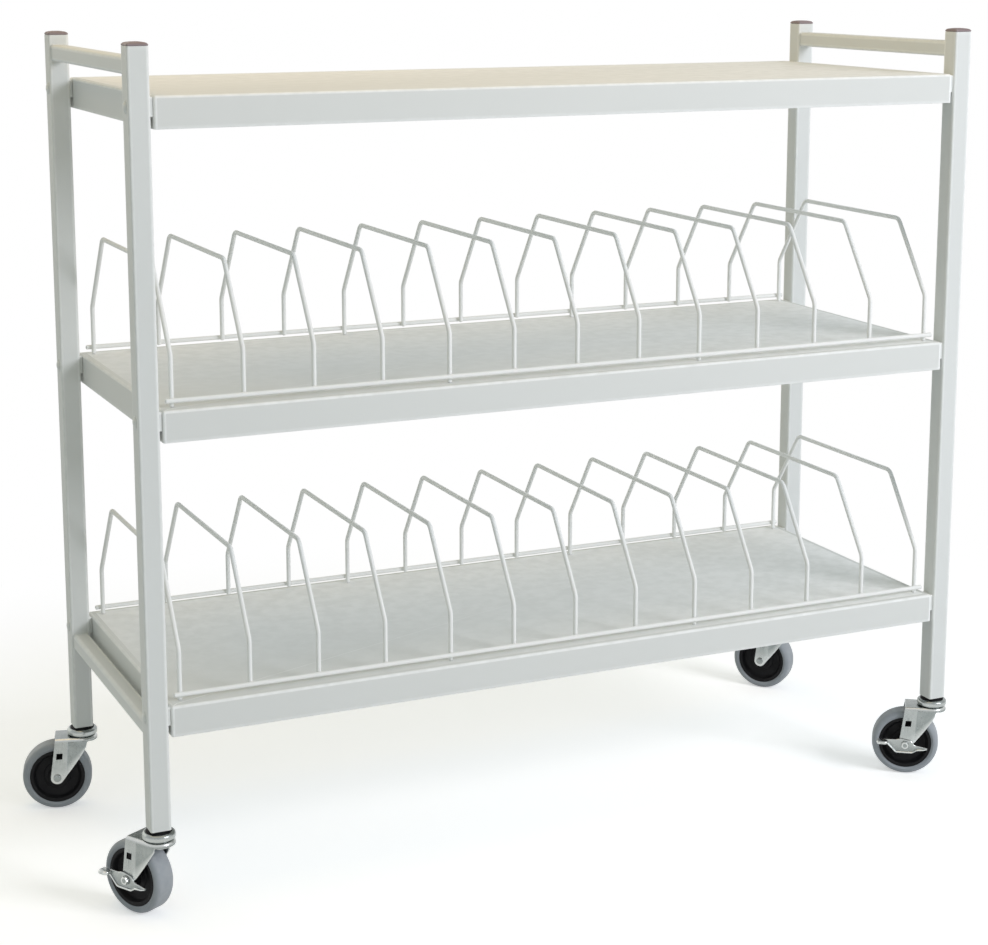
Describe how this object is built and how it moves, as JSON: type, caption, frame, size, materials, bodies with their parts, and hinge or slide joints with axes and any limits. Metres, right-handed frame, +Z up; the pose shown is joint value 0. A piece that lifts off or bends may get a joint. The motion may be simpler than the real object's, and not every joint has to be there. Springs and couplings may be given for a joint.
{
  "type": "mobile medical chart rack",
  "caption": "Two-tier open rack on swivel casters: painted tube end frames, folded steel shelves and wire dividers that stand chart binders upright, with end handles and front foot brakes.",
  "frame": {"origin": "on the floor, at the middle of the part's box", "axes": "+X along the shelves to the right as seen from the front, +Y to the back, +Z up"},
  "size_m": [1.3266, 0.5146, 1.1366],
  "materials": {
    "frame_paint": "satin powder coat, light grey-white",
    "shelf_paint": "satin powder coat, warm light grey",
    "wire_paint": "satin powder coat, near white",
    "cap_plastic": "matte dark mauve-brown",
    "zinc_steel": "bright zinc plate",
    "hub_plastic": "moulded black",
    "tyre_rubber": "smooth non-marking grey"
  },
  "bodies": {
    "frame": {"post_front_left": "frame_paint", "cap_front_left": "cap_plastic", "post_back_left": "frame_paint", "cap_back_left": "cap_plastic", "handle_left": "frame_paint", "end_rail_left": "frame_paint", "post_front_right": "frame_paint", "cap_front_right": "cap_plastic", "post_back_right": "frame_paint", "cap_back_right": "cap_plastic", "handle_right": "frame_paint", "end_rail_right": "frame_paint", "shelf_top": "shelf_paint", "shelf_middle": "shelf_paint", "shelf_bottom": "shelf_paint", "middle_rack_carrier": "wire_paint", "middle_divider_02": "wire_paint", "middle_divider_03": "wire_paint", "middle_divider_04": "wire_paint", "middle_divider_06": "wire_paint", "middle_divider_07": "wire_paint", "middle_divider_08": "wire_paint", "middle_divider_10": "wire_paint", "middle_divider_11": "wire_paint", "middle_divider_12": "wire_paint", "bottom_rack_carrier": "wire_paint", "bottom_divider_02": "wire_paint", "bottom_divider_03": "wire_paint", "bottom_divider_04": "wire_paint", "bottom_divider_06": "wire_paint", "bottom_divider_07": "wire_paint", "bottom_divider_08": "wire_paint", "bottom_divider_10": "wire_paint", "bottom_divider_11": "wire_paint", "bottom_divider_12": "wire_paint", "caster_front_left_stem_housing": "zinc_steel", "caster_front_right_stem_housing": "zinc_steel", "caster_back_left_stem_housing": "zinc_steel", "caster_back_right_stem_housing": "zinc_steel"},
    "front_left_swivel": {"caster_front_left_fork": "zinc_steel", "caster_front_left_axle": "zinc_steel"},
    "front_left_wheel": {"caster_front_left_hub": "hub_plastic", "caster_front_left_tyre": "tyre_rubber"},
    "front_left_brake": {"caster_front_left_brake_lever": "zinc_steel"},
    "front_right_swivel": {"caster_front_right_fork": "zinc_steel", "caster_front_right_axle": "zinc_steel"},
    "front_right_wheel": {"caster_front_right_hub": "hub_plastic", "caster_front_right_tyre": "tyre_rubber"},
    "front_right_brake": {"caster_front_right_brake_lever": "zinc_steel"},
    "back_left_swivel": {"caster_back_left_fork": "zinc_steel", "caster_back_left_axle": "zinc_steel"},
    "back_left_wheel": {"caster_back_left_hub": "hub_plastic", "caster_back_left_tyre": "tyre_rubber"},
    "back_right_swivel": {"caster_back_right_fork": "zinc_steel", "caster_back_right_axle": "zinc_steel"},
    "back_right_wheel": {"caster_back_right_hub": "hub_plastic", "caster_back_right_tyre": "tyre_rubber"}
  },
  "joints": [
    {"name": "front_left_swivel_turn", "type": "hinge", "parent": "frame", "child": "front_left_swivel", "pos_m": [-0.57524, -0.23533, 0.11853], "axis": [0, 0, 1], "continuous": true},
    {"name": "front_left_wheel_roll", "type": "hinge", "parent": "front_left_swivel", "child": "front_left_wheel", "pos_m": [-0.59424, -0.20242, 0.05003], "axis": [-0.866, -0.5, 0], "continuous": true},
    {"name": "front_left_brake_press", "type": "hinge", "parent": "front_left_swivel", "child": "front_left_brake", "pos_m": [-0.59424, -0.20242, 0.05003], "axis": [-0.866, -0.5, 0], "range_deg": [0, 25]},
    {"name": "front_right_swivel_turn", "type": "hinge", "parent": "frame", "child": "front_right_swivel", "pos_m": [0.64176, -0.23533, 0.11853], "axis": [0, 0, 1], "continuous": true},
    {"name": "front_right_wheel_roll", "type": "hinge", "parent": "front_right_swivel", "child": "front_right_wheel", "pos_m": [0.61063, -0.21353, 0.05003], "axis": [-0.5736, -0.8192, 0], "continuous": true},
    {"name": "front_right_brake_press", "type": "hinge", "parent": "front_right_swivel", "child": "front_right_brake", "pos_m": [0.61063, -0.21353, 0.05003], "axis": [-0.5736, -0.8192, 0], "range_deg": [0, 25]},
    {"name": "back_left_swivel_turn", "type": "hinge", "parent": "frame", "child": "back_left_swivel", "pos_m": [-0.57524, 0.18168, 0.11853], "axis": [0, 0, 1], "continuous": true},
    {"name": "back_left_wheel_roll", "type": "hinge", "parent": "back_left_swivel", "child": "back_left_wheel", "pos_m": [-0.61212, 0.19087, 0.05003], "axis": [-0.2419, -0.9703, 0], "continuous": true},
    {"name": "back_right_swivel_turn", "type": "hinge", "parent": "frame", "child": "back_right_swivel", "pos_m": [0.64176, 0.18168, 0.11853], "axis": [0, 0, 1], "continuous": true},
    {"name": "back_right_wheel_roll", "type": "hinge", "parent": "back_right_swivel", "child": "back_right_wheel", "pos_m": [0.61784, 0.21121, 0.05003], "axis": [-0.7771, -0.6293, 0], "continuous": true}
  ]
}
